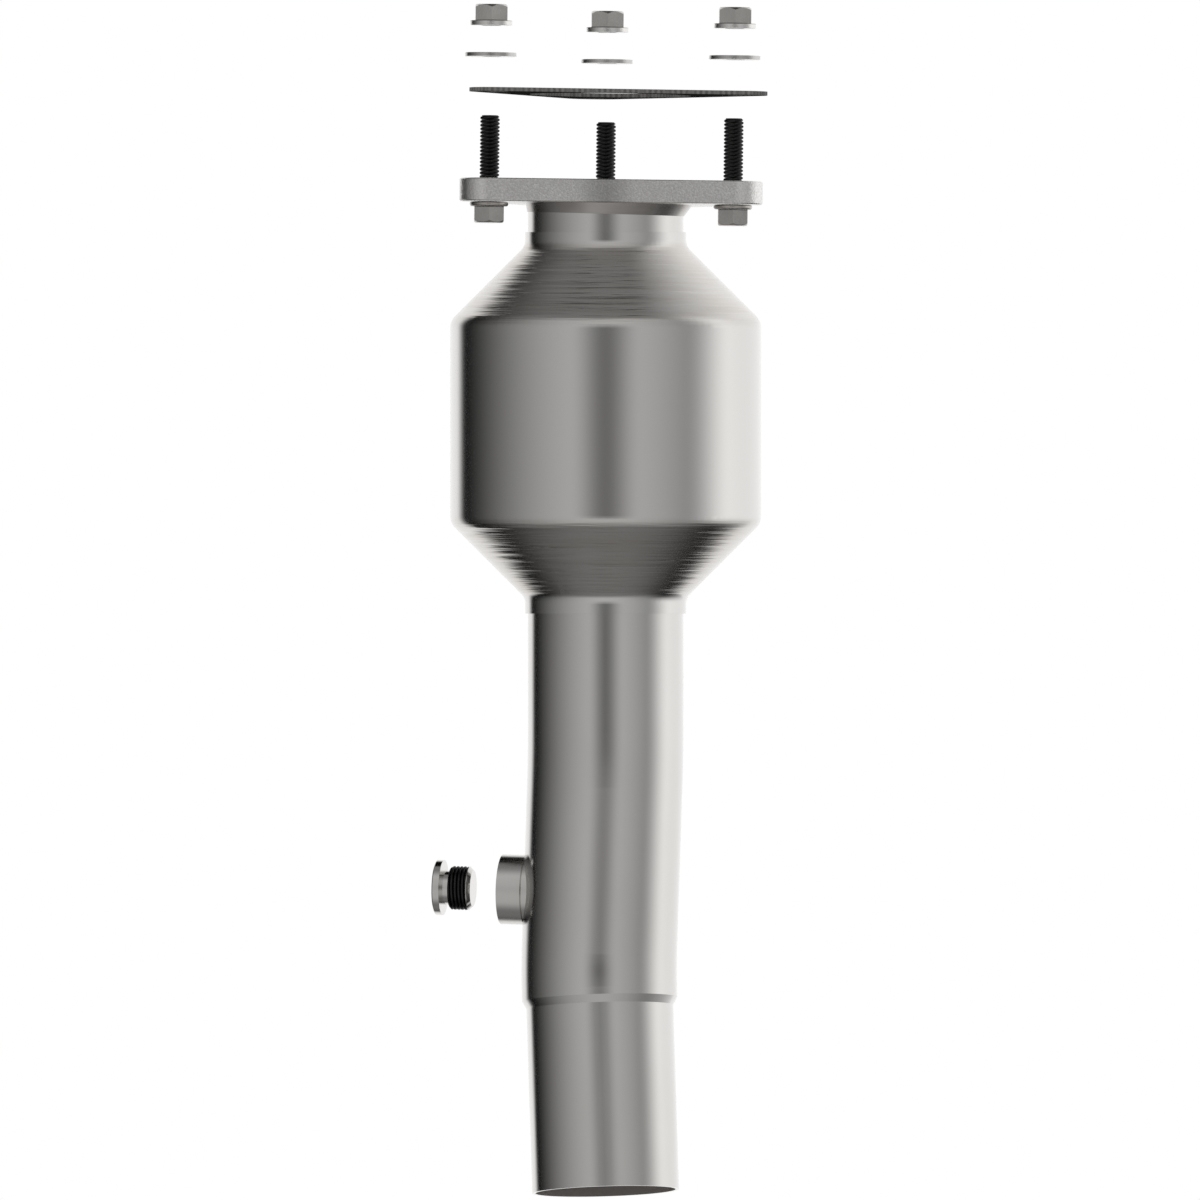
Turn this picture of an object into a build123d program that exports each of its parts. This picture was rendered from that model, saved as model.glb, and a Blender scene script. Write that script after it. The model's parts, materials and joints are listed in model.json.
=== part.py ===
from build123d import *
import os
from math import cos, radians, sin, tan

# Catalytic converter for a car exhaust, in millimetres. The origin is the centre of the inlet
# flange's gasket face. +Z runs up the can's axis to the inlet, +X to the right and +Y to the back.
# The nuts, washers, gasket and sensor plug are taken off and held apart, each in line with its seat.

# Tube of the neck and the outlet pipe
tube_diameter = 63.5
tube_wall = 1.5
joint_clearance = 0.05

# Inlet flange: a rounded triangle about three bolt centres, not quite square to the can's axis
flange_thickness = 9.5
bolt_circle_diameter = 115.0
flange_corner_radius = 12.15
flange_edge_chamfer = 0.5
flange_roll = 0.7
flange_lean = 1.5
flange_turn = 1.55
flange_to_can_offset = 1.5
tube_stop_depth = 3.0

# Flange bolts, pushed up through the flange from below
bolt_angles = {"back": 90.0, "left": 210.0, "right": 330.0}
stud_diameter = 8.0
stud_reach = 25.7
stud_tip_chamfer = 1.0
press_collar_diameter = 8.7
bolt_hole_clearance = 0.1
head_across_flats = 12.0
head_flange_diameter = 15.8
head_height = 8.7
head_flange_rounding = 0.9

# Hexes of bolts and nuts
hex_flange_height = 2.0
hex_crown_inset = 0.4
hex_chamfer_angle = 40.0

# Nuts and washers, drawn off along the studs
nut_across_flats = 13.0
nut_flange_diameter = 17.2
nut_flange_rounding = 0.2
nut_height = 8.7
nut_bore_clearance = 0.1
nut_bore_chamfer = 0.6
nut_standoff = 62.4
washer_diameter = 21.0
washer_bore = 8.8
washer_thickness = 1.6
washer_standoff = 49.7

# Gasket, drawn off and turned a little past the flange
gasket_thickness = 1.6
gasket_corner_radius = 11.4
gasket_port_diameter = 66.0
gasket_bolt_hole = 9.6
gasket_standoff = 35.3
gasket_turn = 5.0

# Can: one spun shell with a collar, a cone, the round body, a cone and a collar
can_diameter = 127.0
can_body_length = 82.5
can_wall = 1.1
cone_angle = 45.0
inlet_collar_drop = 20.6
inlet_collar_length = 5.7
outlet_collar_length = 6.4
shoulder_radius = 7.0
collar_radius = 6.0
neck_insertion = 7.0
pipe_insertion = 8.4

# Fillet weld between the flange and the neck
weld_flange_leg = 2.2
weld_toe_width = 0.3
weld_drop = 13.3
weld_roll = 1.6
weld_lean = 0.3

# Honeycomb block, its mat and its seals
mat_thickness = 3.9
monolith_end_gap = 3.25
channel_pitch = 9.0
channel_wall = 1.3
monolith_skin = 2.2
mat_seal_height = 5.0
mat_margin = 1.0

# Outlet pipe: straight, bent left and back, bent right and forward, then reduced
first_bend_drop = 58.6
first_bend_radius = 240.0
middle_length = 87.3
middle_left = 1.85
middle_back = 4.5
second_bend_radius = 110.0
last_right = 1.78
last_front = 4.15
step_distance = 12.0
step_length = 3.2
spigot_diameter = 60.0
spigot_length = 75.4

# Sensor boss and plug, in line with each other
sensor_distance = 55.3
sensor_back = 11.2
sensor_rise = 1.6
boss_diameter = 28.5
boss_reach = 41.2
boss_mouth_chamfer = 1.0
boss_seam_distance = 31.1
boss_seam_depth = 0.3
sensor_thread_diameter = 18.0
sensor_thread_start = 33.0
pipe_port_diameter = 19.2
plug_gap = 12.1
plug_thread_clearance = 0.1
plug_thread_length = 9.3
plug_tip_chamfer = 1.5
plug_undercut_diameter = 13.9
plug_undercut_length = 3.0
plug_head_diameter = 22.6
plug_head_thickness = 3.0
plug_head_chamfer = 0.4
plug_socket_across_flats = 10.0
plug_socket_depth = 6.0

# Places that follow from the sizes
tube_radius = tube_diameter / 2
can_radius = can_diameter / 2
bolt_circle_radius = bolt_circle_diameter / 2
collar_outer_radius = tube_radius + joint_clearance + can_wall
cone_drop = (can_radius - collar_outer_radius) / tan(radians(cone_angle))
inlet_cone_z = -inlet_collar_drop - inlet_collar_length
body_top_z = inlet_cone_z - cone_drop
body_bottom_z = body_top_z - can_body_length
outlet_cone_z = body_bottom_z - cone_drop
can_bottom_z = outlet_cone_z - outlet_collar_length
can_axis = Pos(-flange_to_can_offset, 0, 0)
mat_outer_radius = can_radius - can_wall - joint_clearance
mat_inner_radius = mat_outer_radius - mat_thickness
monolith_radius = mat_inner_radius - joint_clearance
monolith_top_z = body_top_z - monolith_end_gap
monolith_bottom_z = body_bottom_z + monolith_end_gap
standing = (Align.CENTER, Align.CENTER, Align.MIN)


def leaning(right, back, rise):
    """Unit direction whose slopes against Z are the two angles, in degrees; rise is +1 or -1."""
    return Vector(tan(radians(right)), tan(radians(back)), rise).normalized()


def leaning_plane(origin, roll, lean):
    """Plane that faces up, rolled to the right and leaning to the back by the angles given."""
    return Plane(origin, x_dir=(1, 0, -tan(radians(roll))), z_dir=leaning(roll, lean, 1))


def bolt_centre(angle, turn=0.0):
    """Centre of one bolt in the flange's own plane, at its angle round the bolt circle."""
    return Pos(
        bolt_circle_radius * cos(radians(angle + turn)),
        bolt_circle_radius * sin(radians(angle + turn)),
        0,
    )


def triangle_outline(corner_radius, turn=0.0):
    """Round corners about the three bolt centres, joined by tangent straight sides."""
    corners = [bolt_centre(angle, turn) * Circle(corner_radius) for angle in bolt_angles.values()]
    return make_hull(Sketch(corners).edges())


def upright(radius, low, high):
    """Cylinder on the can's axis between two heights."""
    return can_axis * Pos(0, 0, low) * Cylinder(radius, high - low, align=standing)


flange_plane = leaning_plane((0, 0, 0), flange_roll, flange_lean)


def above_flange(height):
    """Place in the bolt pattern's own axes, at a height over the gasket face."""
    return flange_plane.location * Rot(0, 0, flange_turn) * Pos(0, 0, height)


def make_flange():
    """Plate with the tube's socket below, the gas passage above it and three bolt holes."""
    plate = extrude(triangle_outline(flange_corner_radius), -flange_thickness)
    rims = plate.edges().group_by(Axis.Z)
    plate = chamfer(rims[0] + rims[-1], flange_edge_chamfer)
    bolt_hole = Circle(press_collar_diameter / 2 + bolt_hole_clearance)
    for angle in bolt_angles.values():
        plate -= extrude(bolt_centre(angle) * bolt_hole, -flange_thickness)
    plate = above_flange(0) * plate
    plate -= upright(tube_radius + joint_clearance, -2 * flange_thickness, -tube_stop_depth)
    return plate - upright(tube_radius - tube_wall, -flange_thickness, flange_thickness)


def make_neck():
    """Short tube from its stop in the flange to its end inside the can's collar."""
    top = -tube_stop_depth - joint_clearance
    bottom = -inlet_collar_drop - neck_insertion
    return upright(tube_radius, bottom, top) - upright(tube_radius - tube_wall, bottom, top)


def make_weld():
    """Weld bead, lofted from a ring on the flange's underside down to its toe on the neck."""
    top_plane = flange_plane.offset(-flange_thickness)
    toe_plane = leaning_plane((-flange_to_can_offset, 0, -weld_drop), weld_roll, weld_lean)
    top_ring = top_plane * Circle(tube_radius + weld_flange_leg)
    toe_ring = toe_plane * Circle(tube_radius + weld_toe_width)
    bead = loft([top_ring, toe_ring])
    return bead - upright(tube_radius, -inlet_collar_drop, 0)


def can_form(inset):
    """Solid of revolution inside the can's outline, with every wall moved in by inset."""
    collar = collar_outer_radius - inset
    body = can_radius - inset
    shift = inset * tan(radians(cone_angle / 2))
    outline = FilletPolyline(
        (collar, -inlet_collar_drop),
        (collar, inlet_cone_z - shift),
        (body, body_top_z - shift),
        (body, body_bottom_z + shift),
        (collar, outlet_cone_z + shift),
        (collar, can_bottom_z),
        radius=[
            collar_radius + inset,
            shoulder_radius - inset,
            shoulder_radius - inset,
            collar_radius + inset,
        ],
    )
    inner_side = Polyline(
        (collar, can_bottom_z),
        (0, can_bottom_z),
        (0, -inlet_collar_drop),
        (collar, -inlet_collar_drop),
    )
    section = make_face(outline.edges() + inner_side.edges())
    return can_axis * revolve(Plane.XZ * section, Axis.Z)


def make_can():
    """Spun shell, open through both collars."""
    return can_form(0) - can_form(can_wall)


def make_monolith():
    """Honeycomb block: square channels run straight through it inside an unbroken skin."""
    reach = monolith_radius - monolith_skin
    channel = channel_pitch - channel_wall
    count = int(2 * monolith_radius / channel_pitch) + 1
    section = Circle(monolith_radius)
    half = channel / 2
    channels = [
        place * Rectangle(channel, channel)
        for place in GridLocations(channel_pitch, channel_pitch, count, count)
        if Vector(abs(place.position.X) + half, abs(place.position.Y) + half).length < reach
    ]
    section -= channels
    return can_axis * Pos(0, 0, monolith_bottom_z) * extrude(section, monolith_top_z - monolith_bottom_z)


def mat_ring(low, high):
    """Ring that fills the space between the block and the can."""
    return upright(mat_outer_radius, low, high) - upright(mat_inner_radius, low, high)


def make_mat_and_seals():
    """Fibre mat with a seal at each end, a little short of the block's two faces."""
    top = monolith_top_z - mat_margin
    bottom = monolith_bottom_z + mat_margin
    return {
        "support_mat": mat_ring(bottom + mat_seal_height, top - mat_seal_height),
        "mat_seal_inlet": mat_ring(top - mat_seal_height, top),
        "mat_seal_outlet": mat_ring(bottom, bottom + mat_seal_height),
    }


middle_direction = leaning(-middle_left, middle_back, -1)
last_direction = leaning(last_right, -last_front, -1)
first_bend = Vector(-flange_to_can_offset, 0, can_bottom_z - first_bend_drop)
second_bend = first_bend + middle_direction * middle_length
step_start = second_bend + last_direction * step_distance


def pipe_form(inset, overrun=0.0):
    """Bent round bar with the reduced end, every wall moved in by inset, longer by overrun."""
    top = Vector(-flange_to_can_offset, 0, can_bottom_z + pipe_insertion + overrun)
    route = FilletPolyline(
        top, first_bend, second_bend, step_start, radius=[first_bend_radius, second_bend_radius]
    )
    bar = sweep(Plane(top, z_dir=route % 0) * Circle(tube_radius - inset), path=route)
    full, reduced = tube_radius - inset, spigot_diameter / 2 - inset
    step = Cone(full, reduced, step_length, align=standing)
    spigot = Pos(0, 0, step_length) * Cylinder(reduced, spigot_length + overrun, align=standing)
    return bar + Plane(step_start, z_dir=last_direction) * (step + spigot)


boss_foot = first_bend + middle_direction * sensor_distance
boss_direction = Vector(
    -cos(radians(sensor_back)), sin(radians(sensor_back)), tan(radians(sensor_rise))
).normalized()
sensor_place = Plane(boss_foot, z_dir=boss_direction).location


def sensor_bar(diameter, low, high):
    """Cylinder on the sensor's axis between two distances from the pipe's axis."""
    return sensor_place * Pos(0, 0, low) * Cylinder(diameter / 2, high - low, align=standing)


def make_outlet_pipe():
    """Bent tube with its reduced end and the hole that the sensor reaches through."""
    pipe = pipe_form(0) - pipe_form(tube_wall, overrun=1.0)
    return pipe - sensor_bar(pipe_port_diameter, 0, boss_reach)


def make_boss():
    """Bung cut to the round of the pipe, with a relief below its threaded bore and a seam line."""
    radius = boss_diameter / 2
    mouth = sensor_thread_diameter / 2
    relief = pipe_port_diameter / 2
    section = make_face(
        Polyline(
            (relief, 0),
            (radius, 0),
            (radius, boss_seam_distance - boss_seam_depth),
            (radius - boss_seam_depth, boss_seam_distance),
            (radius, boss_seam_distance + boss_seam_depth),
            (radius, boss_reach),
            (mouth + boss_mouth_chamfer, boss_reach),
            (mouth, boss_reach - boss_mouth_chamfer),
            (mouth, sensor_thread_start),
            (relief, sensor_thread_start - relief + mouth),
            (relief, 0),
        )
    )
    return sensor_place * revolve(Plane.XZ * section, Axis.Z) - pipe_form(0)


def make_plug():
    """Plug, unscrewed straight out of the boss: thread, undercut and a round head with a hex socket."""
    thread = sensor_thread_diameter / 2 - plug_thread_clearance
    undercut = plug_undercut_diameter / 2
    head = plug_head_diameter / 2
    thread_end = plug_thread_length
    head_start = thread_end + plug_undercut_length
    head_end = head_start + plug_head_thickness
    section = make_face(
        Polyline(
            (0, 0),
            (thread - plug_tip_chamfer, 0),
            (thread, plug_tip_chamfer),
            (thread, thread_end),
            (undercut, thread_end),
            (undercut, head_start),
            (head, head_start),
            (head, head_end - plug_head_chamfer),
            (head - plug_head_chamfer, head_end),
            (0, head_end),
            (0, 0),
        )
    )
    plug = revolve(Plane.XZ * section, Axis.Z)
    socket = RegularPolygon(plug_socket_across_flats / 2, 6, major_radius=False)
    plug -= extrude(Pos(0, 0, head_end) * socket, -plug_socket_depth)
    return sensor_place * Pos(0, 0, boss_reach + plug_gap) * plug


def flanged_hex(across_flats, flange_diameter, height, rounding):
    """Hex on a round flange, standing on Z = 0, with a corner to the front and a chamfered crown."""
    flat = across_flats / 2
    corner = flat / cos(radians(30))
    crown = flat - hex_crown_inset
    hexagon = Rot(0, 0, 30) * RegularPolygon(flat, 6, major_radius=False)
    crown_drop = (corner - crown) * tan(radians(hex_chamfer_angle))
    section = make_face(
        Polyline(
            (0, 0),
            (corner, 0),
            (corner, height - crown_drop),
            (crown, height),
            (0, height),
            (0, 0),
        )
    )
    body = extrude(hexagon, height) & revolve(Plane.XZ * section, Axis.Z)
    flange = Cylinder(flange_diameter / 2, hex_flange_height, align=standing)
    rims = flange.edges().filter_by(GeomType.CIRCLE)
    return body + fillet(rims, rounding)


def make_bolt():
    """Flange bolt: head below the flange, a press collar inside it and the stud above its face."""
    head = flanged_hex(
        head_across_flats, head_flange_diameter, head_height, head_flange_rounding
    )
    stud = stud_diameter / 2
    collar = press_collar_diameter / 2
    shank = make_face(
        Polyline(
            (0, -flange_thickness),
            (collar, -flange_thickness),
            (collar, 0),
            (stud, 0),
            (stud, stud_reach - stud_tip_chamfer),
            (stud - stud_tip_chamfer, stud_reach),
            (0, stud_reach),
            (0, -flange_thickness),
        )
    )
    head_below = Pos(0, 0, -flange_thickness) * Rot(180, 0, 0) * head
    return head_below + revolve(Plane.XZ * shank, Axis.Z)


def make_nut():
    """Flange nut that runs on the stud, its bore chamfered at both mouths."""
    bore = stud_diameter / 2 + nut_bore_clearance
    nut = flanged_hex(nut_across_flats, nut_flange_diameter, nut_height, nut_flange_rounding)
    nut -= Cylinder(bore, nut_height, align=standing)
    mouths = nut.edges().filter_by(lambda edge: edge.geom_type == GeomType.CIRCLE and edge.radius == bore)
    return chamfer(mouths, nut_bore_chamfer)


def make_washer():
    """Flat washer."""
    return extrude(Circle(washer_diameter / 2) - Circle(washer_bore / 2), washer_thickness)


def make_gasket():
    """Thin gasket of the flange's form, with the gas port and the three bolt holes."""
    sheet = triangle_outline(gasket_corner_radius, gasket_turn) - Circle(gasket_port_diameter / 2)
    for angle in bolt_angles.values():
        sheet -= bolt_centre(angle, gasket_turn) * Circle(gasket_bolt_hole / 2)
    return above_flange(gasket_standoff) * extrude(sheet, gasket_thickness)


def make_fixings():
    """Bolt, washer and nut of each stud, in line."""
    fixings = {}
    for name, angle in bolt_angles.items():
        fixings[f"flange_bolt_{name}"] = above_flange(0) * bolt_centre(angle) * make_bolt()
        fixings[f"washer_{name}"] = above_flange(washer_standoff) * bolt_centre(angle) * make_washer()
        fixings[f"nut_{name}"] = above_flange(nut_standoff) * bolt_centre(angle) * make_nut()
    return fixings


nodes = {
    "inlet_flange": make_flange(),
    "inlet_neck": make_neck(),
    "inlet_weld": make_weld(),
    "can_shell": make_can(),
    "catalyst_monolith": make_monolith(),
    "outlet_pipe": make_outlet_pipe(),
    "sensor_boss": make_boss(),
    "sensor_plug": make_plug(),
    "inlet_gasket": make_gasket(),
}
nodes.update(make_mat_and_seals())
nodes.update(make_fixings())

os.makedirs("parts", exist_ok=True)
for node, shape in nodes.items():
    export_step(shape, f"parts/{node}.step")
    print(node, round(shape.volume, 1), shape.is_valid)
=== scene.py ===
import json
import math

import bmesh
import bpy
from mathutils import Matrix, Vector


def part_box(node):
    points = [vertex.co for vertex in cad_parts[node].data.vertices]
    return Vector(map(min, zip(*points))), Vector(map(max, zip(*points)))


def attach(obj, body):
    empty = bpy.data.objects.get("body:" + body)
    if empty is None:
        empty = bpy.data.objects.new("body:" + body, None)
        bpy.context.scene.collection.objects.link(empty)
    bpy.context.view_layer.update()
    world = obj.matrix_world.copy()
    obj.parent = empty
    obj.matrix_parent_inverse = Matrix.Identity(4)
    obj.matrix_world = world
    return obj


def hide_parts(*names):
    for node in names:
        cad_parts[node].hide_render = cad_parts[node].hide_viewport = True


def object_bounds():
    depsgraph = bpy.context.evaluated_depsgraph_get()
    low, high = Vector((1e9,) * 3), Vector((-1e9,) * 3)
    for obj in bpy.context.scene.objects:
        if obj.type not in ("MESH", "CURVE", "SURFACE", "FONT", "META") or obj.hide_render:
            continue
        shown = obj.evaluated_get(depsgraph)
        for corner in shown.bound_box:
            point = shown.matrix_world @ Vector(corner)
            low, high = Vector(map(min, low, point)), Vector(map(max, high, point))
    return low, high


# Catalytic converter, dressed round the fixed model. Every length is in metres, in the model's frame.
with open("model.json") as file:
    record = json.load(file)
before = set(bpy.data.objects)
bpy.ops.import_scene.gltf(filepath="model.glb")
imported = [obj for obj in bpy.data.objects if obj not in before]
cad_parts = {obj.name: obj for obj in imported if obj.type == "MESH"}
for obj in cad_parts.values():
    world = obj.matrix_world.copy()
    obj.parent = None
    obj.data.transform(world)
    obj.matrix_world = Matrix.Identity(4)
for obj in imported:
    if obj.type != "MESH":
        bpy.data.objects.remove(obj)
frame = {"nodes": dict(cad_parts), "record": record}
cad_low, cad_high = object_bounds()
nodes = frame["nodes"]
mounts = {mount["name"]: mount for mount in frame["record"]["mounts"]}
stud_axis = Vector(mounts["inlet_studs"]["axis"])
stud_radius = mounts["inlet_studs"]["dims"]["stud_r_mm"] / 1000
sensor_axis = Vector(mounts["sensor_port"]["axis"])
sensor_point = Vector(mounts["sensor_port"]["pos_m"])
sensor_radius = mounts["sensor_port"]["dims"]["r_mm"] / 1000
sensor_length = mounts["sensor_port"]["dims"]["length_mm"] / 1000
spigot_axis = Vector(mounts["outlet_spigot"]["axis"])
spigot_point = Vector(mounts["outlet_spigot"]["pos_m"])
bore_radius = mounts["outlet_bore"]["dims"]["r_mm"] / 1000
sides = ("left", "right", "back")

# Slots of the pieces over the can, which its cone doesn't mirror
unmirrored_slots = ("flange_steel", "gasket_sheet", "bolt_steel", "washer_steel", "nut_steel")

# Camera: level and orthographic, as the photograph shows no perspective
picture_width = 0.49003
picture_centre = Vector((-0.0038, 0, -0.17086))
camera_distance = 1.5

# Studio, as directions seen from the part: azimuth 0 is towards the camera, 90 to the right.
# Each edge goes from the angle in degrees where a light starts to the one where it is full.
backdrop_level = 1.08
backdrop_edge = (50, 34)
front_level = 0.59
front_edge = (137, 10)
front_top = (78, 40)
camera_gap = (27, 0)
camera_gap_depth = 0.42
key_level = 1.10
key_edge = (60, 107)
key_top = (80, 26)
key_bottom = (-45, -5)
ceiling_level = 0.25
ceiling_edge = (65, 5)
ground_level = 0.24
ground_edge = (50, 5)
room_level = 0.85

# Over this height in degrees, up or down, the backdrop widens by this many degrees for each more
widening_start = 24.0
backdrop_widening = 0.42

# Dark gap between the backdrop and the box over the part, as parts of a unit direction
gap_back = (0.11, 0.22)
gap_side = (0.32, 0.12)
gap_height = (0.50, 0.75)

# Lamp and floor
lamp_power = 4.0
lamp_size = 1.2
lamp_place = Vector((1.1, -0.7, 1.2))
floor_gap = 0.05
floor_radius = 2.5
floor_segments = 96

# Colours, as linear values
black = (0.0, 0.0, 0.0)
white = (1.0, 1.0, 1.0)
floor_colour = (0.97, 0.97, 0.97)
steel_colour = (0.640, 0.631, 0.614)
heat_colour = (0.50, 0.455, 0.41)
oxide_colour = (0.18, 0.163, 0.152)
weld_colour = (0.30, 0.27, 0.25)
blasted_colour = (0.78, 0.772, 0.755)
plated_colour = (0.60, 0.585, 0.56)
bright_colour = (0.75, 0.74, 0.72)
washer_colour = (0.58, 0.57, 0.555)
worn_colour = (0.46, 0.435, 0.40)
# Painted shade at the edges of the bolt heads' rings
ring_shade_colour = (0.06, 0.055, 0.05)
dull_colour = (0.19, 0.18, 0.165)
bolt_colour = (0.51, 0.497, 0.476)
thread_colour = (0.034, 0.034, 0.034)
graphite_colour = (0.018, 0.018, 0.017)
core_colour = (0.125, 0.123, 0.119)
honeycomb_colour = (0.55, 0.47, 0.34)
fibre_colour = (0.86, 0.85, 0.80)

# Marks of the finishes, as scales of noise along X, Y and Z
drawn_lines = (420.0, 420.0, 6.0)
turned_lines = (40.0, 40.0, 1100.0)
weld_ripples = (9.0, 9.0, 900.0)
spun_marks = (24.0, 24.0, 760.0)
body_lines = (5.0, 5.0, 1500.0)

# Values of noise that are stretched over the whole of a mask
noise_range = (0.3, 0.7)
smudge_range = (0.35, 0.68)

# Where the can's finish changes, measured from the block's faces and the can's ends
shoulder_fade = 0.0045
inlet_collar = 0.0036
outlet_collar = 0.0064
collar_fade = 0.0028

# Oxide in the pipe's open end: how far in it goes, and how much of the wall it takes
oxide_reach = 0.06
oxide_skin = 0.000375

# Painted dark reflection: a darker band across the middle of the plate's front edge
dark_reflection_centre = -0.0013
dark_reflection_reach = 0.0135
dark_reflection_depth = 0.34
dark_reflection_front = (-0.020, -0.035)

# Perforated core of the gasket, in radians for each metre
core_pattern = 2730.0

# Threads: pitch and depth of each, and the play between two that meet
stud_screw = (0.0015, 0.00070)
sensor_screw = (0.0015, 0.00065)
thread_play = 0.0001

# Shape of every thread: how much its crests are flattened, how deep an outer one ends as a share of
# its depth, how far an inner one's rim stands behind its root, and steps in each pitch and turn
thread_crest_gain = 1.7
thread_end_depth = 1.1
thread_rim = 0.00004
thread_steps = 6
thread_segments = 48

# Places where pieces are cut apart, and where their finish changes
plate_thickness = 0.0095
ring_height = 0.0020
stud_root = 0.001
nut_mouth = 0.0006
plug_tip_length = 0.0016
plug_thread_end = 0.0093
plug_undercut = 0.00005
port_lead = 0.0003

# Meshes: points nearer than this are joined. Of the angles in degrees, faces under the first are
# joined, edges over the second are rounded, and edges over the others stay sharp.
same_place = 1e-6
flat_angle = 0.3
bevel_angle = 24
sharp_angle = 40
thread_sharp_angle = 50

# Honeycomb
cell_pitch = 0.0018
cell_wall = 0.00028
crossing_height = 0.9995
honeycomb_skin = 0.0011
honeycomb_segments = 96


def put(tree, socket, value):
    """Links an input to another socket, or sets its value."""
    if isinstance(value, bpy.types.NodeSocket):
        tree.links.new(value, socket)
    elif socket.type == "RGBA":
        socket.default_value = (*value, 1.0)
    else:
        socket.default_value = value


def add(tree, kind, inputs=None, **settings):
    """Adds a node. Each input is given by name or number, as a socket to link or a value to set."""
    node = tree.nodes.new(kind)
    for name, value in settings.items():
        setattr(node, name, value)
    for key, value in (inputs or {}).items():
        put(tree, node.inputs[key], value)
    return node


def maths(tree, operation, *values):
    """Math node on sockets and numbers."""
    return add(tree, "ShaderNodeMath", dict(enumerate(values)), operation=operation).outputs[0]


def vector_maths(tree, operation, *values):
    """Outputs of a vector math node on sockets and vectors."""
    return add(tree, "ShaderNodeVectorMath", dict(enumerate(values)), operation=operation).outputs


def absolute(tree, value):
    """Value without its sign."""
    return maths(tree, "ABSOLUTE", value)


def product(tree, value, *factors):
    """Value times each factor."""
    for factor in factors:
        value = maths(tree, "MULTIPLY", value, factor)
    return value


def weighted(tree, total, *parts):
    """Total with masks added to it, each times its share."""
    for mask, share in parts:
        total = maths(tree, "ADD", total, maths(tree, "MULTIPLY", mask, share))
    return total


def split(tree, vector):
    """X, Y and Z of a vector."""
    return add(tree, "ShaderNodeSeparateXYZ", {0: vector}).outputs


def window(tree, value, edge, level=1.0):
    """Smooth step from nothing at the edge's first value to the level at its second."""
    inputs = {"Value": value, "From Min": edge[0], "From Max": edge[1], "To Min": 0.0, "To Max": level}
    return add(tree, "ShaderNodeMapRange", inputs, interpolation_type="SMOOTHSTEP").outputs[0]


def ramp(tree, value, low, high):
    """Stretches the values between low and high over 0 to 1."""
    inputs = {"Value": value, "From Min": low, "From Max": high}
    return add(tree, "ShaderNodeMapRange", inputs).outputs[0]


def blend(tree, amount, first, second):
    """Mixes two colours."""
    return add(tree, "ShaderNodeMix", {0: amount, 6: first, 7: second}, data_type="RGBA").outputs[2]


def shade(colour, share):
    """Colour made darker or lighter by a share."""
    return tuple(part * share for part in colour)


def studio_light(tree):
    """What the metal mirrors in each direction: front wall, key box, ceiling, ground and backdrop."""
    x, y, z = split(tree, add(tree, "ShaderNodeTexCoord").outputs["Generated"])
    towards_camera = maths(tree, "MULTIPLY", y, -1.0)
    azimuth = maths(tree, "DEGREES", maths(tree, "ARCTAN2", x, towards_camera))
    elevation = maths(tree, "DEGREES", maths(tree, "ARCSINE", z))
    from_back = maths(tree, "DEGREES", maths(tree, "ARCCOSINE", y))
    from_camera = maths(tree, "DEGREES", maths(tree, "ARCCOSINE", towards_camera))
    from_top = maths(tree, "SUBTRACT", 90.0, elevation)
    from_bottom = maths(tree, "ADD", 90.0, elevation)
    height = absolute(tree, elevation)
    front = window(tree, absolute(tree, azimuth), front_edge, front_level)
    front = maths(tree, "SUBTRACT", front, window(tree, from_camera, camera_gap, camera_gap_depth))
    front = product(tree, front, window(tree, height, front_top))
    key = window(tree, azimuth, key_edge, key_level)
    key = product(tree, key, window(tree, elevation, key_top), window(tree, elevation, key_bottom))
    ceiling = window(tree, from_top, ceiling_edge, ceiling_level)
    ground = window(tree, from_bottom, ground_edge, ground_level)
    past_start = maths(tree, "MAXIMUM", maths(tree, "SUBTRACT", height, widening_start), 0.0)
    from_back = maths(tree, "SUBTRACT", from_back, product(tree, past_start, backdrop_widening))
    backdrop = window(tree, from_back, backdrop_edge, backdrop_level)
    total = maths(tree, "ADD", maths(tree, "ADD", front, key), maths(tree, "ADD", ceiling, ground))
    total = maths(tree, "MAXIMUM", total, backdrop)
    gap = product(tree, window(tree, y, gap_back), window(tree, absolute(tree, x), gap_side))
    gap = product(tree, gap, window(tree, z, gap_height))
    return product(tree, total, maths(tree, "SUBTRACT", 1.0, gap))


def make_studio():
    """World: white to the camera, the studio's light to the metal and even light to the rest."""
    world = bpy.data.worlds.new("studio")
    bpy.context.scene.world = world
    world.use_nodes = True
    world.cycles.sampling_method = "NONE"
    tree = world.node_tree
    tree.nodes.clear()
    path = add(tree, "ShaderNodeLightPath")
    shown = blend(tree, path.outputs["Is Glossy Ray"], (room_level,) * 3, studio_light(tree))
    shown = blend(tree, path.outputs["Is Camera Ray"], shown, white)
    background = add(tree, "ShaderNodeBackground", {"Color": shown})
    add(tree, "ShaderNodeOutputWorld", {"Surface": background.outputs[0]})


def make_camera():
    """Camera at the photograph's level view."""
    data = bpy.data.cameras.new("camera")
    data.type = "ORTHO"
    data.ortho_scale = picture_width
    camera = bpy.data.objects.new("camera", data)
    bpy.context.scene.collection.objects.link(camera)
    camera.location = picture_centre - Vector((0, camera_distance, 0))
    camera.rotation_euler = (math.radians(90), 0, 0)
    bpy.context.scene.camera = camera


def make_lamp():
    """One large soft lamp from above on the right, which the metal doesn't mirror."""
    data = bpy.data.lights.new("soft lamp", "AREA")
    data.size = lamp_size
    data.energy = lamp_power
    lamp = bpy.data.objects.new("soft lamp", data)
    lamp.location = lamp_place
    lamp.rotation_euler = (picture_centre - lamp.location).to_track_quat("-Z", "Y").to_euler()
    lamp.visible_glossy = False
    bpy.context.scene.collection.objects.link(lamp)


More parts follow.
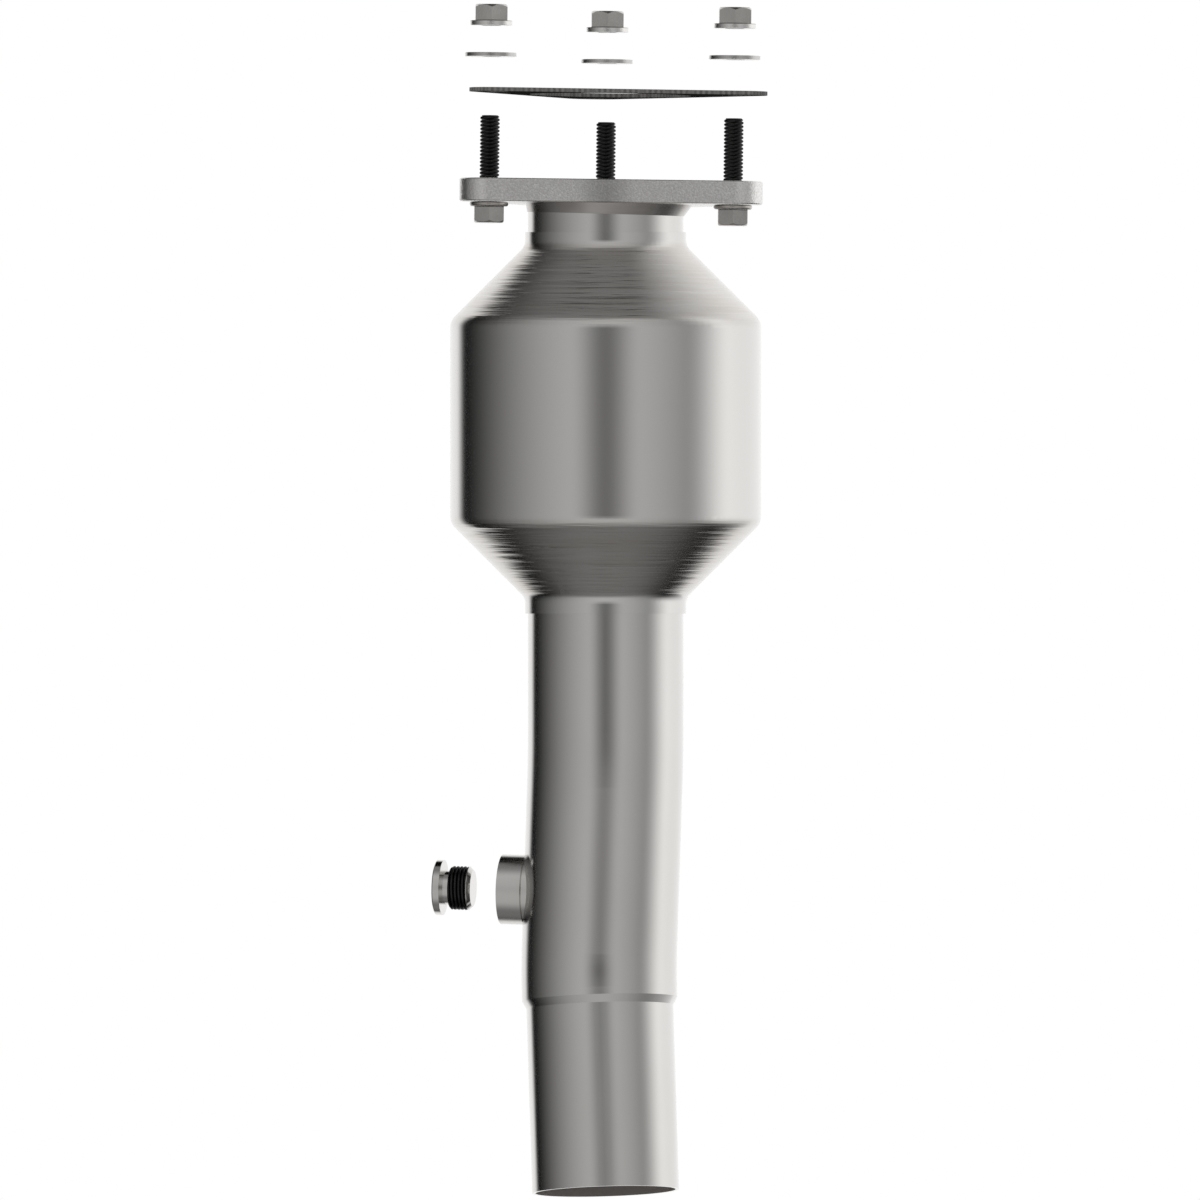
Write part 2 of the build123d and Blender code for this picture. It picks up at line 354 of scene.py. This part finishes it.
def new_piece(name, mesh, material):
    """Object at the origin that holds a mesh with one material, and shades its flat faces evenly."""
    mesh.materials.clear()
    mesh.materials.append(material)
    piece = bpy.data.objects.new(name, mesh)
    bpy.context.scene.collection.objects.link(piece)
    evened = piece.modifiers.new("evened normals", "WEIGHTED_NORMAL")
    evened.keep_sharp = True
    return piece


def make_floor():
    """White floor a little below the part; it takes the shadow and the metal doesn't mirror it."""
    mesh = bpy.data.meshes.new("floor")
    work = bmesh.new()
    bmesh.ops.create_circle(work, cap_ends=True, segments=floor_segments, radius=floor_radius)
    bmesh.ops.translate(work, verts=work.verts, vec=(0, 0, cad_low.z - floor_gap))
    work.to_mesh(mesh)
    work.free()
    material = bpy.data.materials.new("floor white")
    material.use_nodes = True
    tree = material.node_tree
    tree.nodes.clear()
    surface = add(tree, "ShaderNodeBsdfDiffuse", {"Color": floor_colour})
    add(tree, "ShaderNodeOutputMaterial", {"Surface": surface.outputs[0]})
    floor = new_piece("floor", mesh, material)
    floor.visible_glossy = False


def noise(tree, place, scale, detail):
    """Value of noise at a place."""
    inputs = {"Vector": place, "Scale": scale, "Detail": detail}
    return add(tree, "ShaderNodeTexNoise", inputs).outputs[0]


def build_streaks(tree, place, scale):
    """Long thin marks: noise with a scale of its own along each axis."""
    stretched = vector_maths(tree, "MULTIPLY", place, scale)[0]
    fine = noise(tree, stretched, scale=1.0, detail=3.0)
    wide = noise(tree, stretched, scale=0.22, detail=1.0)
    both = add(tree, "ShaderNodeMix", {0: 0.35, 2: fine, 3: wide}).outputs[0]
    return ramp(tree, both, *noise_range)


def build_grain(tree, place, scale):
    """Fine even grain, as a blasted or cast skin has."""
    fine = ramp(tree, noise(tree, place, scale, detail=2.0), *noise_range)
    coarse = maths(tree, "MULTIPLY", scale, 0.7)
    pits = add(tree, "ShaderNodeTexVoronoi", {"Vector": place, "Scale": coarse})
    return maths(tree, "MULTIPLY", maths(tree, "ADD", fine, pits.outputs["Distance"]), 0.5)


def build_smudges(tree, place, scale):
    """Broad soft patches, for handling marks and uneven colour."""
    return ramp(tree, noise(tree, place, scale, detail=4.0), *smudge_range)


def effect_group(name, scale_kind, scale, build):
    """Node group that takes a place and a scale, and gives the mask that build makes of them."""
    tree = bpy.data.node_groups.new(name, "ShaderNodeTree")
    tree.interface.new_socket("Place", in_out="INPUT", socket_type="NodeSocketVector")
    tree.interface.new_socket("Scale", in_out="INPUT", socket_type=scale_kind).default_value = scale
    tree.interface.new_socket("Mask", in_out="OUTPUT", socket_type="NodeSocketFloat")
    given = tree.nodes.new("NodeGroupInput").outputs
    add(tree, "NodeGroupOutput", {"Mask": build(tree, given["Place"], given["Scale"])})
    return tree


streaks_group = effect_group("streaks", "NodeSocketVector", (10, 10, 600), build_streaks)
grain_group = effect_group("grain", "NodeSocketFloat", 1800.0, build_grain)
smudges_group = effect_group("smudges", "NodeSocketFloat", 20.0, build_smudges)


def effect(tree, group, place, scale):
    """Places one of the groups and gives its mask."""
    inputs = {"Place": place, "Scale": scale}
    return add(tree, "ShaderNodeGroup", inputs, node_tree=group).outputs["Mask"]


def new_material(name, metallic=1.0):
    """Material with a Principled surface; gives the material, its tree, the surface and the place."""
    material = bpy.data.materials.new(name)
    material.use_nodes = True
    tree = material.node_tree
    surface = tree.nodes["Principled BSDF"]
    surface.inputs["Metallic"].default_value = metallic
    place = add(tree, "ShaderNodeTexCoord").outputs["Object"]
    return material, tree, surface, place


def finish_surface(tree, surface, colour, roughness, height, depth):
    """Gives a surface its colour and roughness, and a bump from a mask with its depth in metres."""
    bump = add(tree, "ShaderNodeBump", {"Height": height, "Distance": depth, "Strength": 1.0})
    put(tree, surface.inputs["Base Color"], colour)
    put(tree, surface.inputs["Roughness"], roughness)
    put(tree, surface.inputs["Normal"], bump.outputs[0])


def turned_place(tree, place, centre, axis):
    """Place in a frame whose Z runs along an axis through a centre."""
    turn = axis.to_track_quat("Z", "Y").inverted()
    moved = vector_maths(tree, "ADD", place, tuple(-centre))[0]
    mapping = {"Vector": moved, "Rotation": tuple(turn.to_euler())}
    return add(tree, "ShaderNodeMapping", mapping).outputs[0]


def satin_steel(name, scale, depth, roughness, turned=None, warm=0.25, tint=heat_colour):
    """Stainless steel with fine lines, along Z or round a centre and axis, and faint warm patches."""
    material, tree, surface, place = new_material(name)
    if turned:
        place = turned_place(tree, place, *turned)
    lines = effect(tree, streaks_group, place, scale)
    patches = effect(tree, smudges_group, place, scale=18.0)
    colour = blend(tree, product(tree, patches, warm), steel_colour, tint)
    rough = weighted(tree, roughness - 0.03, (lines, 0.05), (patches, 0.02))
    finish_surface(tree, surface, colour, rough, lines, depth)
    return material


def pipe_steel():
    """Drawn steel of the pipe, with dull oxide on the inside of its open end."""
    material = satin_steel("pipe steel", drawn_lines, depth=0.000003, roughness=0.16, warm=0.10)
    tree = material.node_tree
    surface = tree.nodes["Principled BSDF"]
    place = add(tree, "ShaderNodeTexCoord").outputs["Object"]
    x, y, z = split(tree, turned_place(tree, place, spigot_point, spigot_axis))
    across = add(tree, "ShaderNodeCombineXYZ", {0: x, 1: y}).outputs[0]
    off_axis = vector_maths(tree, "LENGTH", across)["Value"]
    inside = maths(tree, "LESS_THAN", off_axis, bore_radius + oxide_skin)
    near_end = maths(tree, "LESS_THAN", absolute(tree, z), oxide_reach)
    oxide = product(tree, inside, near_end)
    steel = surface.inputs["Base Color"].links[0].from_socket
    put(tree, surface.inputs["Base Color"], blend(tree, oxide, steel, oxide_colour))
    put(tree, surface.inputs["Metallic"], maths(tree, "SUBTRACT", 1.0, oxide))
    return material


def can_steel():
    """Can: smooth body and collars, and cones with coarse spinning marks and a warmer tone."""
    material, tree, surface, place = new_material("can steel")
    can_low, can_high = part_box("can_shell")
    block_low, block_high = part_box("catalyst_monolith")
    inlet_end = can_high.z - inlet_collar
    outlet_end = can_low.z + outlet_collar
    z = split(tree, place)[2]
    body_top = window(tree, z, (block_high.z + shoulder_fade, block_high.z))
    body_bottom = window(tree, z, (block_low.z - shoulder_fade, block_low.z))
    inlet = window(tree, z, (inlet_end - collar_fade, inlet_end))
    outlet = window(tree, z, (outlet_end + collar_fade, outlet_end))
    collars = maths(tree, "ADD", inlet, outlet)
    smooth = maths(tree, "MAXIMUM", product(tree, body_top, body_bottom), collars)
    cone = maths(tree, "SUBTRACT", 1.0, smooth)
    spun = effect(tree, streaks_group, place, spun_marks)
    fine = effect(tree, streaks_group, place, body_lines)
    patches = effect(tree, smudges_group, place, scale=16.0)
    warm = product(tree, cone, weighted(tree, 0.0, (patches, 0.35), (spun, 0.45)))
    colour = blend(tree, warm, steel_colour, heat_colour)
    rough = weighted(tree, 0.16, (cone, 0.02))
    marks = weighted(tree, product(tree, spun, cone), (fine, 0.03))
    finish_surface(tree, surface, colour, rough, marks, depth=0.00017)
    return material


def blasted_steel():
    """Flange plate: blasted, with an even grain and a painted dark reflection, a darker band in the
    middle of its front edge.
    """
    material, tree, surface, place = new_material("blasted plate")
    x, y = split(tree, place)[:2]
    grain = effect(tree, grain_group, place, scale=1500.0)
    patches = effect(tree, smudges_group, place, scale=30.0)
    tone = weighted(tree, 0.0, (grain, 0.7), (patches, 0.2))
    colour = blend(tree, tone, shade(blasted_colour, 0.72), shade(blasted_colour, 1.22))
    # Painted dark reflection: the middle of the front edge is darkened towards black
    off_middle = absolute(tree, maths(tree, "SUBTRACT", x, dark_reflection_centre))
    dark_reflection = window(tree, off_middle, (dark_reflection_reach, 0.0), dark_reflection_depth)
    dark_reflection = product(tree, dark_reflection, window(tree, y, dark_reflection_front))
    colour = blend(tree, dark_reflection, colour, black)
    finish_surface(tree, surface, colour, roughness=0.30, height=grain, depth=0.00011)
    return material


def plated_steel(name, colour, roughness, bands=()):
    """Plated steel of uneven tone. Each band is a colour, and on the studs' axis the height where it
    starts and the height where it is full."""
    material, tree, surface, place = new_material(name)
    grain = effect(tree, grain_group, place, scale=2600.0)
    patches = effect(tree, smudges_group, place, scale=90.0)
    tone = blend(tree, patches, shade(colour, 0.86), colour)
    height = vector_maths(tree, "DOT_PRODUCT", place, tuple(stud_axis))["Value"]
    for band_colour, start, full in bands:
        tone = blend(tree, window(tree, height, (start, full)), tone, band_colour)
    rough = weighted(tree, roughness, (patches, 0.06))
    finish_surface(tree, surface, tone, rough, grain, depth=0.00005)
    return material


def bolt_plating():
    """Plating of the bolt heads, worn on the ring under the plate, with painted shade in dark bands at
    the ring's edges.
    """
    seat = -plate_thickness
    ring = seat - ring_height
    # Painted shade: dark bands at the ring's foot and where it meets the plate
    lower = (ring_shade_colour, ring - 0.0005, ring - 0.0002)
    middle = (worn_colour, ring + 0.0001, ring + 0.0004)
    upper = (ring_shade_colour, seat - 0.0008, seat - 0.0003)
    return plated_steel("bolt plating", bolt_colour, roughness=0.20, bands=(lower, middle, upper))


def nut_plating():
    """Plating of the nuts, bright on the ring at the foot and dull just over it."""
    ring = along("nut_left", Vector(), stud_axis)[0] + ring_height
    dull = (dull_colour, ring + 0.0004, ring + 0.0001)
    bright = (bright_colour, ring - 0.0001, ring - 0.0003)
    return plated_steel("nut plating", plated_colour, roughness=0.18, bands=(dull, bright))


def thread_steel():
    """Blackened threads, a little oily."""
    material, tree, surface, place = new_material("black thread")
    grain = effect(tree, grain_group, place, scale=3000.0)
    colour = blend(tree, grain, shade(thread_colour, 0.5), shade(thread_colour, 1.5))
    put(tree, surface.inputs["Specular Tint"], (0.5, 0.5, 0.5))
    finish_surface(tree, surface, colour, roughness=0.25, height=grain, depth=0.00001)
    return material


def graphite_sheet():
    """Gasket: dark graphite faces, and a lighter edge where the perforated steel core is cut."""
    material, tree, surface, place = new_material("graphite sheet", metallic=0.0)
    x, y = split(tree, vector_maths(tree, "MULTIPLY", place, (core_pattern,) * 3)[0])[:2]
    rows = product(tree, maths(tree, "SINE", x), maths(tree, "SINE", y))
    rows = ramp(tree, rows, -0.6, 0.6)
    grain = effect(tree, grain_group, place, scale=2200.0)
    tone = weighted(tree, 0.0, (rows, 0.55), (grain, 0.4))
    normal = add(tree, "ShaderNodeTexCoord").outputs["Normal"]
    edge = window(tree, absolute(tree, split(tree, normal)[2]), (0.8, 0.4))
    face_tone = blend(tree, tone, shade(graphite_colour, 0.6), shade(graphite_colour, 1.4))
    edge_tone = blend(tree, tone, shade(core_colour, 0.5), shade(core_colour, 1.5))
    tone = blend(tree, edge, face_tone, edge_tone)
    put(tree, surface.inputs["Specular IOR Level"], 0.0)
    finish_surface(tree, surface, tone, roughness=0.7, height=rows, depth=0.00006)
    return material


def soft_material(name, colour, scale, depth, roughness):
    """Ceramic or fibre: rough, with grain."""
    material, tree, surface, place = new_material(name, metallic=0.0)
    grain = effect(tree, grain_group, place, scale)
    patches = effect(tree, smudges_group, place, scale=60.0)
    tone = blend(tree, product(tree, patches, 0.7), shade(colour, 0.8), colour)
    finish_surface(tree, surface, tone, roughness, grain, depth)
    return material


def along(node, point, axis):
    """Lowest and highest distance of a node's points along an axis from a point."""
    reach = [(vertex.co - point).dot(axis) for vertex in nodes[node].data.vertices]
    return min(reach), max(reach)


def smooth_mesh(work, name, angle=sharp_angle):
    """Turns a working mesh into a mesh that is smooth but for its sharp edges, and frees the work."""
    for edge in work.edges:
        edge.smooth = edge.calc_face_angle(0.0) < math.radians(angle)
    for face in work.faces:
        face.smooth = True
    mesh = bpy.data.meshes.new(name)
    work.to_mesh(mesh)
    work.free()
    stored = mesh.attributes.get("custom_normal")
    if stored:
        mesh.attributes.remove(stored)
    return mesh


def tidy_copy(node, name, bevel=0.0, cuts=()):
    """Copy of a node with its flat faces joined and, where asked, cut by planes and with soft edges."""
    work = bmesh.new()
    work.from_mesh(nodes[node].data)
    bmesh.ops.remove_doubles(work, verts=work.verts, dist=same_place)
    for point, normal in cuts:
        every = work.verts[:] + work.edges[:] + work.faces[:]
        cut = bmesh.ops.bisect_plane(
            work, geom=every, plane_co=point, plane_no=normal, clear_outer=True
        )
        rim = [item for item in cut["geom_cut"] if isinstance(item, bmesh.types.BMEdge)]
        bmesh.ops.edgeloop_fill(work, edges=rim)
    flat = math.radians(flat_angle)
    bmesh.ops.dissolve_limit(work, angle_limit=flat, verts=work.verts, edges=work.edges)
    if bevel:
        sharp = [edge for edge in work.edges if edge.calc_face_angle(0.0) > math.radians(bevel_angle)]
        bmesh.ops.bevel(work, geom=sharp, offset=bevel, segments=2, profile=0.6, affect="EDGES")
        bmesh.ops.remove_doubles(work, verts=work.verts, dist=same_place)
    return smooth_mesh(work, name)


def geometry_tree(name, lengths, counts):
    """Geometry Nodes tree with named inputs, the material among them; gives it and its inputs."""
    tree = bpy.data.node_groups.new(name, "GeometryNodeTree")
    for label in lengths:
        tree.interface.new_socket(label, in_out="INPUT", socket_type="NodeSocketFloat")
    for label in counts:
        tree.interface.new_socket(label, in_out="INPUT", socket_type="NodeSocketInt")
    tree.interface.new_socket("Material", in_out="INPUT", socket_type="NodeSocketMaterial")
    tree.interface.new_socket("Geometry", in_out="OUTPUT", socket_type="NodeSocketGeometry")
    return tree, tree.nodes.new("NodeGroupInput").outputs


def finish_tree(tree, geometry, material):
    """Ends a Geometry Nodes tree with real geometry that holds its material."""
    real = add(tree, "GeometryNodeRealizeInstances", {"Geometry": geometry})
    inputs = {"Geometry": real.outputs[0], "Material": material}
    painted = add(tree, "GeometryNodeSetMaterial", inputs)
    add(tree, "NodeGroupOutput", {"Geometry": painted.outputs[0]})


def thread_tree():
    """Geometry Nodes: one closed screw thread, from a grid whose rows follow the helix."""
    lengths = ("Root", "Crest", "End", "Cap", "Pitch", "Length", "Outward", "Gain")
    tree, given = geometry_tree("screw thread", lengths, ("Segments", "Rows", "Steps"))
    length, outward = given["Length"], given["Outward"]

    def calc(operation, *values):
        return maths(tree, operation, *values)

    sizes = {"Size X": 1.0, "Size Y": 1.0}
    sizes["Vertices X"] = calc("ADD", given["Segments"], 1.0)
    sizes["Vertices Y"] = calc("ADD", given["Rows"], 1.0)
    grid = add(tree, "GeometryNodeMeshGrid", sizes)
    spot = split(tree, add(tree, "GeometryNodeInputPosition").outputs[0])
    turn = calc("ADD", spot[0], 0.5)
    row = calc("ROUND", calc("MULTIPLY", calc("ADD", spot[1], 0.5), given["Rows"]))
    ends = calc("MAXIMUM", calc("COMPARE", row, 0.0, 0.5), calc("COMPARE", row, given["Rows"], 0.5))
    # Height on the helix, held between the thread's two ends
    step = calc("DIVIDE", calc("SUBTRACT", row, 1.0), given["Steps"])
    height = calc("MULTIPLY", calc("ADD", step, calc("SUBTRACT", turn, 1.0)), given["Pitch"])
    height = calc("MINIMUM", calc("MAXIMUM", height, 0.0), length)
    # Radius between root and crest, drawn in at both ends and taken to the cap's on the last rows
    phase = calc("ABSOLUTE", calc("SUBTRACT", calc("FRACT", step), 0.5))
    flank = calc("MINIMUM", calc("MULTIPLY", calc("MULTIPLY", phase, 2.0), given["Gain"]), 1.0)
    depth = calc("SUBTRACT", given["Crest"], given["Root"])
    body = calc("ADD", given["Root"], calc("MULTIPLY", flank, depth))
    nearest = calc("MINIMUM", height, calc("SUBTRACT", length, height))
    limit = calc("ADD", calc("MULTIPLY", given["End"], outward), nearest)
    body = calc("MULTIPLY", calc("MINIMUM", calc("MULTIPLY", body, outward), limit), outward)
    wall = calc("MULTIPLY", body, calc("SUBTRACT", 1.0, ends))
    radius = calc("ADD", wall, calc("MULTIPLY", given["Cap"], ends))
    angle = calc("MULTIPLY", turn, 2 * math.pi)
    x = calc("MULTIPLY", radius, calc("COSINE", angle))
    y = calc("MULTIPLY", radius, calc("SINE", angle))
    place = add(tree, "ShaderNodeCombineXYZ", {0: x, 1: y, 2: height}).outputs[0]
    moved = add(tree, "GeometryNodeSetPosition", {"Geometry": grid.outputs[0], "Position": place})
    joining = {"Geometry": moved.outputs[0], "Distance": same_place}
    merged = add(tree, "GeometryNodeMergeByDistance", joining)
    finish_tree(tree, merged.outputs[0], given["Material"])
    return tree


def honeycomb_tree():
    """Geometry Nodes: upright walls at an even pitch, each as long as its chord, and their crossings."""
    lengths = ("Radius", "Height", "Pitch", "Wall")
    tree, given = geometry_tree("honeycomb walls", lengths, ("Count",))
    span = product(tree, maths(tree, "SUBTRACT", given["Count"], 1.0), given["Pitch"])
    start = add(tree, "ShaderNodeCombineXYZ", {0: product(tree, span, -0.5)}).outputs[0]
    offset = add(tree, "ShaderNodeCombineXYZ", {0: given["Pitch"]}).outputs[0]
    row = {"Count": given["Count"], "Start Location": start, "Offset": offset}
    line = add(tree, "GeometryNodeMeshLine", row)
    x = split(tree, add(tree, "GeometryNodeInputPosition").outputs[0])[0]
    radius_squared = maths(tree, "POWER", given["Radius"], 2.0)
    inside = maths(tree, "SUBTRACT", radius_squared, maths(tree, "MULTIPLY", x, x))
    chord = maths(tree, "MULTIPLY", maths(tree, "SQRT", inside), 2.0)
    size = {0: given["Wall"], 1: chord, 2: given["Height"]}
    size = add(tree, "ShaderNodeCombineXYZ", size).outputs[0]
    block = add(tree, "GeometryNodeMeshCube", {"Size": (1.0, 1.0, 1.0)}).outputs[0]
    walls = {"Points": line.outputs[0], "Instance": block, "Scale": size}
    walls = add(tree, "GeometryNodeInstanceOnPoints", walls).outputs[0]
    turned = {"Geometry": walls, "Rotation": (0.0, 0.0, math.pi / 2)}
    turned["Scale"] = (1.0, 1.0, crossing_height)
    crossing = add(tree, "GeometryNodeTransform", turned).outputs[0]
    joined = add(tree, "GeometryNodeJoinGeometry", {0: walls})
    tree.links.new(crossing, joined.inputs[0])
    finish_tree(tree, joined.outputs[0], given["Material"])
    return tree


def grown(name, tree, settings, place):
    """Runs a Geometry Nodes tree on an empty object and gives its mesh, moved to its place."""
    holder = bpy.data.objects.new(name, bpy.data.meshes.new(name))
    bpy.context.scene.collection.objects.link(holder)
    modifier = holder.modifiers.new(name, "NODES")
    modifier.node_group = tree
    for socket in tree.interface.items_tree:
        if socket.in_out == "INPUT" and socket.name in settings:
            modifier[socket.identifier] = settings[socket.name]
    bpy.context.view_layer.update()
    graph = bpy.context.evaluated_depsgraph_get()
    mesh = bpy.data.meshes.new_from_object(holder.evaluated_get(graph))
    bpy.data.objects.remove(holder)
    mesh.transform(place)
    mesh.name = name
    return mesh


def finish_piece(piece, slot, node):
    """Sets what a piece rides on and, by its slot, whether metal mirrors it, and hides the node that it
    stands for.
    """
    piece.visible_glossy = slot not in unmirrored_slots
    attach(piece, "root")
    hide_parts(node)


def add_copy(node, name, slot, material, bevel=0.0, cuts=()):
    """Piece that stands for a node, as a tidy copy of it."""
    finish_piece(new_piece(name, tidy_copy(node, name, bevel, cuts), material), slot, node)


def add_thread(node, name, slot, material, tree, start, axis, length, screw, crest, inside=False):
    """Thread of a stud or plug, or the thread inside a nut or boss, from a start along an axis."""
    pitch, depth = screw
    rows = (math.ceil(length / pitch) + 1) * thread_steps + 2
    sizes = {"Pitch": pitch, "Length": length, "Gain": thread_crest_gain, "Material": material}
    sizes.update({"Segments": thread_segments, "Steps": thread_steps})
    if inside:
        rim = crest + thread_rim
        sizes.update({"Root": crest, "Crest": crest - depth, "End": rim, "Cap": rim})
        sizes.update({"Outward": -1.0, "Rows": rows + 1})
    else:
        end = crest - depth * thread_end_depth
        sizes.update({"Root": crest - depth, "Crest": crest, "End": end, "Cap": 0.0})
        sizes.update({"Outward": 1.0, "Rows": rows})
    upright = axis.to_track_quat("Z", "Y").to_matrix().to_4x4()
    mesh = grown(name, tree, sizes, Matrix.Translation(start) @ upright)
    work = bmesh.new()
    work.from_mesh(mesh)
    if inside:
        bmesh.ops.bridge_loops(work, edges=[edge for edge in work.edges if edge.is_boundary])
    bmesh.ops.recalc_face_normals(work, faces=work.faces)
    finish_piece(new_piece(name, smooth_mesh(work, name, thread_sharp_angle), material), slot, node)


def give(node, material):
    """Puts a material on a node that stays."""
    nodes[node].data.materials.clear()
    nodes[node].data.materials.append(material)


def dress_plain_nodes():
    """Gives the nodes that stay their materials."""
    tube = satin_steel("tube steel", drawn_lines, depth=0.000003, roughness=0.16, warm=0.10)
    weld = satin_steel(
        "weld steel", weld_ripples, depth=0.00002, roughness=0.20, warm=1.0, tint=weld_colour
    )
    fibre = soft_material("ceramic fibre", fibre_colour, scale=900.0, depth=0.0003, roughness=0.95)
    pressed_mesh = plated_steel("pressed mesh", steel_colour, roughness=0.45)
    give("inlet_neck", tube)
    give("outlet_pipe", pipe_steel())
    give("can_shell", can_steel())
    give("inlet_weld", weld)
    give("support_mat", fibre)
    give("mat_seal_inlet", pressed_mesh)
    give("mat_seal_outlet", pressed_mesh)


def dress_plate_and_gasket():
    """Plate and gasket with softened edges."""
    add_copy("inlet_flange", "flange_plate", "flange_steel", blasted_steel(), bevel=0.00012)
    add_copy("inlet_gasket", "gasket_sheet", "gasket_sheet", graphite_sheet(), bevel=0.0001)


def stud_foot(side):
    """Point on a stud's axis at the height of the model's origin along that axis."""
    low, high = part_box(f"washer_{side}")
    centre = (low + high) / 2
    return centre - stud_axis * centre.dot(stud_axis)


def dress_bolt(side, plating, tree, blackened):
    """Bolt as its softened head and its stud's thread."""
    node = f"flange_bolt_{side}"
    root = stud_foot(side) - stud_axis * stud_root
    cuts = [(root, stud_axis)]
    add_copy(node, f"bolt_head_{side}", "bolt_steel", plating, bevel=0.00012, cuts=cuts)
    reach = along(node, root, stud_axis)[1]
    stud = (root, stud_axis, reach, stud_screw, stud_radius)
    add_thread(node, f"stud_{side}", "bolt_steel", blackened, tree, *stud)


def dress_nut(side, plating, tree):
    """Nut as its body and the thread in it."""
    node = f"nut_{side}"
    add_copy(node, f"flange_{node}", "nut_steel", plating)
    foot = stud_foot(side)
    low, high = along(node, foot, stud_axis)
    mouth = foot + stud_axis * (low + nut_mouth)
    bore = (mouth, stud_axis, high - low - 2 * nut_mouth, stud_screw, stud_radius + thread_play)
    add_thread(node, f"nut_thread_{side}", "nut_steel", plating, tree, *bore, inside=True)


def dress_fixings(tree, blackened):
    """Washers, bolts and nuts."""
    bolt_steel = bolt_plating()
    nut_steel = nut_plating()
    washer_steel = plated_steel("washer plating", washer_colour, roughness=0.18)
    for side in sides:
        washer = f"washer_{side}"
        add_copy(washer, f"flat_{washer}", "washer_steel", washer_steel, bevel=0.00015)
        dress_bolt(side, bolt_steel, tree, blackened)
        dress_nut(side, nut_steel, tree)


def dress_boss(tree):
    """Boss with its inner thread."""
    port = (sensor_point, sensor_axis)
    steel = satin_steel(
        "boss steel", turned_lines, depth=0.000003, roughness=0.20, turned=port, warm=0.3
    )
    add_copy("sensor_boss", "boss_body", "boss_steel", steel)
    length = sensor_length - 2 * port_lead
    start = sensor_point - sensor_axis * length / 2
    bore = (start, sensor_axis, length, sensor_screw, sensor_radius)
    add_thread("sensor_boss", "port_thread", "boss_steel", steel, tree, *bore, inside=True)


def dress_plug(tree, blackened):
    """Plug as head, tip and thread."""
    port = (sensor_point, sensor_axis)
    steel = satin_steel(
        "plug steel", turned_lines, depth=0.000002, roughness=0.14, turned=port, warm=0.2
    )
    low = along("sensor_plug", sensor_point, sensor_axis)[0]
    start = sensor_point + sensor_axis * (low + plug_tip_length)
    end = sensor_point + sensor_axis * (low + plug_thread_end + plug_undercut)
    for name, cut in (("plug_head", (end, -sensor_axis)), ("plug_tip", (start, sensor_axis))):
        add_copy("sensor_plug", name, "plug_steel", steel, bevel=0.0001, cuts=[cut])
    length = plug_thread_end - plug_tip_length
    stem = (start, sensor_axis, length, sensor_screw, sensor_radius - thread_play)
    add_thread("sensor_plug", "plug_thread", "plug_steel", blackened, tree, *stem)


def ring_mesh(name, centre, inner, outer, low, high):
    """Round ring about an upright axis through a centre."""
    work = bmesh.new()
    corners = [(inner, low), (outer, low), (outer, high), (inner, high)]
    rim = [work.verts.new((centre.x + radius, centre.y, z)) for radius, z in corners]
    section = [work.edges.new((rim[i], rim[i - 1])) for i in range(len(rim))]
    turn = {"cent": (centre.x, centre.y, 0), "axis": (0, 0, 1), "angle": 2 * math.pi}
    bmesh.ops.spin(work, geom=rim + section, steps=honeycomb_segments, use_merge=True, **turn)
    bmesh.ops.recalc_face_normals(work, faces=work.faces)
    return smooth_mesh(work, name)


def dress_honeycomb():
    """The block's cell walls by Geometry Nodes, inside a round skin."""
    ceramic = soft_material(
        "coated ceramic", honeycomb_colour, scale=2500.0, depth=0.00003, roughness=0.85
    )
    low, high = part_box("catalyst_monolith")
    centre = (low + high) / 2
    radius = (high.x - low.x) / 2
    reach = radius - honeycomb_skin / 2
    sizes = {"Radius": reach, "Height": high.z - low.z, "Pitch": cell_pitch, "Wall": cell_wall}
    sizes.update({"Count": int(2 * reach / cell_pitch), "Material": ceramic})
    walls = grown("honeycomb_walls", honeycomb_tree(), sizes, Matrix.Translation(centre))
    skin = ring_mesh("honeycomb_skin", centre, radius - honeycomb_skin, radius, low.z, high.z)
    for name, mesh in (("honeycomb_walls", walls), ("honeycomb_skin", skin)):
        finish_piece(new_piece(name, mesh, ceramic), "honeycomb", "catalyst_monolith")


bpy.context.scene.view_settings.view_transform = "Standard"
make_camera()
make_studio()
make_lamp()
make_floor()
screw_tree = thread_tree()
blackened_steel = thread_steel()
dress_plain_nodes()
dress_plate_and_gasket()
dress_fixings(screw_tree, blackened_steel)
dress_boss(screw_tree)
dress_plug(screw_tree, blackened_steel)
dress_honeycomb()
